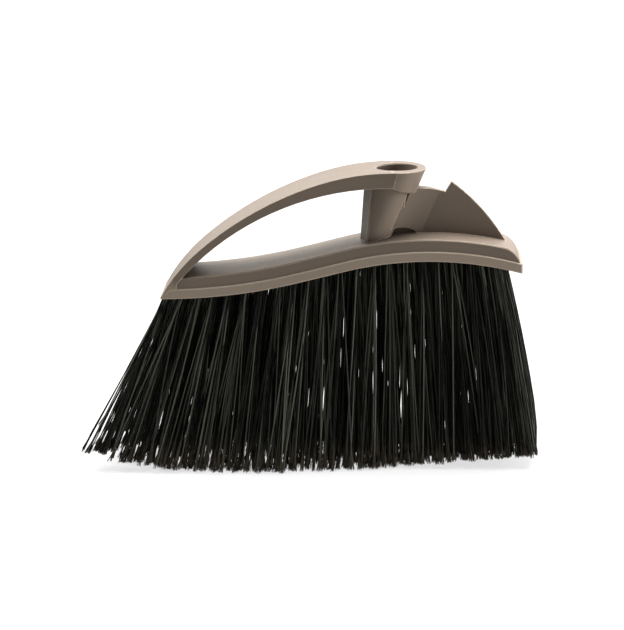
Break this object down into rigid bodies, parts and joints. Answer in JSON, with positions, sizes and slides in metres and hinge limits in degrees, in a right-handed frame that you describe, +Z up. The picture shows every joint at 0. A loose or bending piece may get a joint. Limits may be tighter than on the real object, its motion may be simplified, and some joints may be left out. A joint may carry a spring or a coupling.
{
  "type": "broom head",
  "caption": "Angle broom head: a moulded block with an arched strap, a leaning tapered pole socket, a pointed fin and fanned-out bristle tufts.",
  "frame": {"origin": "centre of the bounding box on the floor plane that the bristle tips stand on", "axes": "+X along the block towards the finned end, +Z up, -Y towards the side seen in the picture"},
  "size_m": [0.28, 0.0798, 0.1805],
  "materials": {
    "moulding": "satin warm grey polypropylene",
    "filament": "satin black polyester filament with brownish split tips"
  },
  "bodies": {
    "root": {"head_moulding": "moulding", "bristle_slice_01": "filament", "bristle_slice_02": "filament", "bristle_slice_03": "filament", "bristle_slice_04": "filament", "bristle_slice_05": "filament", "bristle_slice_06": "filament", "bristle_slice_07": "filament", "bristle_slice_08": "filament", "bristle_slice_09": "filament", "bristle_slice_10": "filament", "bristle_slice_11": "filament", "bristle_slice_12": "filament", "bristle_slice_13": "filament", "bristle_slice_14": "filament", "bristle_slice_15": "filament", "bristle_slice_16": "filament", "bristle_slice_17": "filament", "bristle_slice_18": "filament", "bristle_slice_19": "filament", "bristle_slice_20": "filament", "bristle_slice_21": "filament", "bristle_slice_22": "filament", "bristle_slice_23": "filament"}
  },
  "joints": []
}
